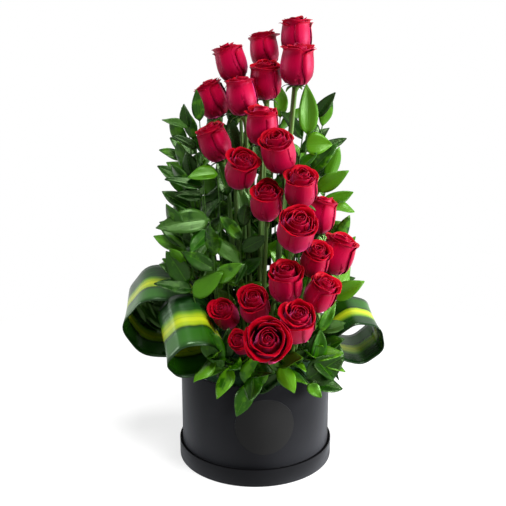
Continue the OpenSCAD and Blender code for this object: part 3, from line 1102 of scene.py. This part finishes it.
# %% Finish of a looped leaf
stripes = [
    (0, (0.002, 0.016, 0.003)),
    (0.3, (0.006, 0.045, 0.003)),
    (0.36, (0.12, 0.28, 0.008)),
    (0.42, (0.42, 0.56, 0.012)),
    (0.5, (0.56, 0.64, 0.015)),
    (0.58, (0.34, 0.5, 0.01)),
    (0.62, (0.004, 0.03, 0.002)),
    (0.68, (0.018, 0.11, 0.003)),
    (0.86, (0.022, 0.12, 0.004)),
    (0.97, (0.005, 0.03, 0.003)),
]


def striped_finish():
    """Long stripes: dark margins, a bright lime band and fine parallel lines."""
    material, tree = green_material("striped_leaf", 0.26, (0.7, 1, 0.65, 1))
    across, _ = split_uv(tree)
    wander = noise_pattern(coordinates(tree, "UV", (0.4, 5, 1)), 1.3, 2)
    colour = ramp(across + (wander - 0.5) * 0.1, stripes)
    lines = noise_pattern(coordinates(tree, "UV", (42, 0.5, 1)), 1, 3, 0.6)
    streak = add_node(tree, "Clamp", {"Value": (lines - 0.48) * 3.2})
    colour = mix_colour(streak * 0.6, colour, (0.02, 0.1, 0.008))
    return end_material(material, colour, lines, 0.25, 0.5 * mm)


striped_leaf = striped_finish()
print("loop finish:", striped_leaf.name)

# %% [markdown]
# A blade is a long grid: one side runs along the loop's path, the other across the leaf.
# The blade is hollowed like a trough, with a slow wave along its edges, and then tilted
# about the loop's own axis.

# %% Looped blades


def loop_section(t, reach, radius):
    """A point (x, z) at a share t of the loop's path, and how far along its leg it is."""
    opening = asin(radius / reach)
    leg = reach * cos(opening)
    arc = radius * (pi + 2 * opening)
    distance = t * (2 * leg + arc)
    if distance <= leg:
        return distance * cos(opening), -distance * sin(opening), distance
    if distance >= leg + arc:
        back = 2 * leg + arc - distance
        return back * cos(opening), back * sin(opening), back
    turn = (distance - leg) / radius - pi / 2 - opening
    pressed = radius * (1 + end_dent * cos(5.8 * turn + 2.5) * cos(turn / 2))
    return reach + pressed * cos(turn), pressed * sin(turn), leg


def build_loop(loop, number):
    """The blade of one loop in its place, as a sheet."""
    _, waist, _, end, radius, width, tilt, stripe_side = loop
    width = width * blade_spread
    out = Vector(end) - Vector(waist)
    reach = out.length
    dice = random.Random(500 + number)
    phase = dice.uniform(0, 6.28)

    def place(s, t):
        x, z, along = loop_section(t, reach, radius)
        widen = smooth_step(along / loop_full) if along < loop_full else 1
        half = (loop_waist + (width - loop_waist) * widen) / 2
        trough = blade_trough * (1 - s * s) * widen
        wave = blade_wave * abs(s) ** 3 * sin(11 * t + phase + 2 * s) * widen
        centre = Vector((reach * 0.8, 0, 0))
        inward = (centre - Vector((x, 0, z))).normalized()
        point = Vector((x, s * half, z)) + inward * (trough + wave)
        return point * mm

    bm = start_sheet()
    shape_grid(bm, 12, 64, place)
    if stripe_side < 0:
        layer = bm.loops.layers.uv.active
        for face in bm.faces:
            for corner in face.loops:
                corner[layer].uv.x = 1 - corner[layer].uv.x
    side = -1 if out.x < 0 else 1
    turn = (
        Matrix.Translation(Vector(waist) * mm)
        @ Matrix.Rotation(atan2(out.y, out.x), 4, "Z")
        @ Matrix.Rotation(-atan2(out.z, hypot(out.x, out.y)), 4, "Y")
        @ turned(side * tilt, "X")
    )
    bmesh.ops.transform(bm, matrix=turn, verts=bm.verts)
    return bm


stalk_paths = []
for number, loop in enumerate(loops):
    name, waist, foot = loop[0], Vector(loop[1]) * mm, loop[2]
    sheet = build_loop(loop, number)
    blade = make_piece(name + "_blade", sheet, [striped_leaf], [name])
    thicken(blade, blade_thickness)
    root = Vector((foot[0] * mm, foot[1] * mm, foot_height))
    path = [(root, 1), (root.lerp(waist, 0.6), 0.9), (waist, 0.8)]
    stalk_paths.append([(point, stalk_radius * share) for point, share in path])
stalks = tube_mesh(stalk_paths)
make_piece("loop_stalks", stalks, [rose_green], [loop[0] for loop in loops])
print("made", len(loops), "loops and their stalks")

# %% [markdown]
# ## Box, lid, liner and foam
# The box and its lid are grey board wrapped in black paper, which is matt with a cool
# sheen. The lid's top edge is painted near black as the shadow in the gap between lid and
# box, and has no sheen, or it would draw a light line round the foot of the box. The liner
# is smooth dark plastic, and wet foam is dark green and full of crumbs.

# %% Paper, plastic and foam finishes


def board_finish(name, colour, roughness, fibre, sheen=0.6):
    """Black wrapping paper: a faint cloudy tone and the bump of its fibres."""
    material, tree = new_material(
        name, roughness, Specular_IOR_Level=0.05, Sheen_Weight=sheen, Sheen_Roughness=0.35,
        Sheen_Tint=(0.86, 0.9, 1, 1),
    )
    clouds = noise_pattern(coordinates(tree, "Object"), 9, 3)
    lighter = tuple(1.5 * c for c in colour)
    cloudy = ramp(clouds, [(0.35, colour), (0.75, lighter)])
    fibres = noise_pattern(coordinates(tree, "Object", (1, 1, 1.6)), 1500, 4, 0.65)
    return end_material(material, cloudy, fibres, fibre, 0.15 * mm)


box_paper = board_finish("box_paper", (0.009, 0.0092, 0.011), 0.5, 0.2)
lid_paper = board_finish("lid_paper", (0.008, 0.0082, 0.0095), 0.5, 0.2)
# Painted shadow: this near-black paper on the lid's top edge stands for the shade in the gap.
gap_shade_paper = board_finish("gap_shade_paper", (0.002, 0.002, 0.0025), 0.9, 0.2, sheen=0)
label_paper = board_finish("label_paper", (0.018, 0.018, 0.018), 0.6, 0.1)
liner_plastic, _ = new_material(
    "liner_plastic", 0.35, Base_Color=(0.012, 0.03, 0.016, 1), Specular_IOR_Level=0.5
)

wet_foam, tree = new_material("wet_foam", 0.85, Specular_IOR_Level=0.3)
crumbs = noise_pattern(coordinates(tree, "Object"), 700, 5, 0.7)
crumb_colour = ramp(crumbs, [(0.3, (0.008, 0.03, 0.012)), (0.8, (0.03, 0.12, 0.045))])
end_material(wet_foam, crumb_colour, crumbs, 0.8, 1 * mm)
print("board, liner and foam finishes made")

# %% [markdown]
# The tube of the box and the rim of the lid are rolled board. Paper goes round their
# edges, so edges are soft. Each wall is a section that is spun round the upright axis.

# %% Spun walls
box_radius = 100 * mm
board = 2.5 * mm
box_top = 134.5 * mm
lid_inner = 101.5 * mm
lid_height = 24 * mm
rim_rounding = 1.2 * mm
foot_bevel = 0.3 * mm
gap_shade_band = 0.9 * mm
weld_distance = 0.02 * mm


def wall_section(inner, outer, low, high, rounding):
    """A closed section of a board wall, its upper rim rounded by rounding."""
    points = [(inner, low), (outer - foot_bevel, low), (outer, low + foot_bevel)]
    for centre, start in ((outer - rounding, 0), (inner + rounding, 90)):
        for k in range(7):
            turn = radians(start + 15 * k)
            rise = high - rounding + rounding * sin(turn)
            points.append((centre + rounding * cos(turn), rise))
    return points


def spin_section(points, steps=160):
    """Spins a closed section round the upright axis, and closes its poles if it has any."""
    bm = bmesh.new()
    verts = [bm.verts.new((radius, 0, height)) for radius, height in points]
    edges = [bm.edges.new(pair) for pair in zip(verts, verts[1:] + verts[:1])]
    bmesh.ops.spin(
        bm, geom=verts + edges, axis=(0, 0, 1), cent=(0, 0, 0), angle=tau, steps=steps,
        use_merge=True,
    )
    bmesh.ops.remove_doubles(bm, verts=bm.verts, dist=weld_distance)
    bare = [edge for edge in bm.edges if not edge.link_faces]
    bmesh.ops.delete(bm, geom=bare, context="EDGES")
    bmesh.ops.recalc_face_normals(bm, faces=bm.faces)
    return bm


tube = spin_section(wall_section(box_radius - board, box_radius, board, box_top, rim_rounding))
make_piece("box_wall_paper", tube, [box_paper], ["box_wall"], "box")
rim = spin_section(wall_section(lid_inner, lid_inner + board, 0, lid_height, rim_rounding))
papers = [lid_paper, gap_shade_paper]
lid_rim = make_piece("lid_rim_paper", rim, papers, ["lid_rim"], "lid")
# Faces in the rim's top band take the painted-shadow paper.
for face in lid_rim.data.polygons:
    if face.center.z > lid_height - gap_shade_band:
        face.material_index = 1
print("walls spun")

# %% [markdown]
# Wrapping paper meets itself in a seam. On a finished box it is at the back, a strip that
# overlaps by about a centimetre and stands a paper's thickness proud.

# %% Seams
paper = 0.25 * mm
seam_width = 12 * mm
seam_gap = 1 * mm


def seam_strip(wall_radius, low, high):
    """An upright strip of paper that stands just proud of a wall."""
    radius = wall_radius + paper

    def place(s, t):
        turn = s * seam_width / radius / 2
        return Vector((radius * sin(turn), radius * cos(turn), low + (high - low) * t))

    bm = start_sheet()
    shape_grid(bm, 6, 4, place)
    return bm


strip = seam_strip(box_radius, board + seam_gap, box_top - rim_rounding)
seam = make_piece("box_seam", strip, [box_paper], ["box_wall"], "box")
thicken(seam, paper)
strip = seam_strip(lid_inner + board, seam_gap, lid_height - rim_rounding)
seam = make_piece("lid_seam", strip, [lid_paper], ["lid_rim"], "lid")
thicken(seam, paper)
print("seams made")

# %% [markdown]
# Wet foam crumbles where stems go in, so its block is spun from a bevelled section and
# its surface is roughened with a little noise.

# %% Foam block
foam_radius = 93.8 * mm
foam_low = 6.2 * mm
foam_high = foam_top * mm
foam_bevel = 12 * mm
crumb_scale = 160
crumb_depth = 0.9 * mm


def foam_section():
    """Half of the block's outline, from the axis at its bottom to the axis at its top."""
    shoulder, top = foam_high - foam_bevel, foam_radius - foam_bevel
    side = [(foam_radius, foam_low + (shoulder - foam_low) * k / 10) for k in range(11)]
    slope = [(foam_radius - foam_bevel * k / 4, shoulder + foam_bevel * k / 4)
             for k in range(1, 5)]
    flat = [(top * (1 - k / 16), foam_high) for k in range(1, 16)]
    return [(0, foam_low), *side, *slope, *flat, (0, foam_high)]


foam = spin_section(foam_section(), steps=120)
for vert in foam.verts:
    if vert.co.z > foam_high - 1.5 * foam_bevel:
        vert.co.z -= abs(noise.noise(vert.co * crumb_scale)) * crumb_depth
make_piece("foam_block", foam, [wet_foam], ["foam"])
print("foam made")

# %% [markdown]
# The lid's base board, the floor of the box, the blank label and the liner keep their
# plain solids. Their meshes stay as they are and only take a finish.

# %% Finishes of the plain solids
plain_finishes = {
    "lid_plate": lid_paper,
    "box_floor": box_paper,
    "blank_label": label_paper,
    "liner": liner_plastic,
}
for node, finish in plain_finishes.items():
    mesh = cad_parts[node].data
    mesh.materials.clear()
    mesh.materials.append(finish)
print("plain solids finished:", ", ".join(plain_finishes))
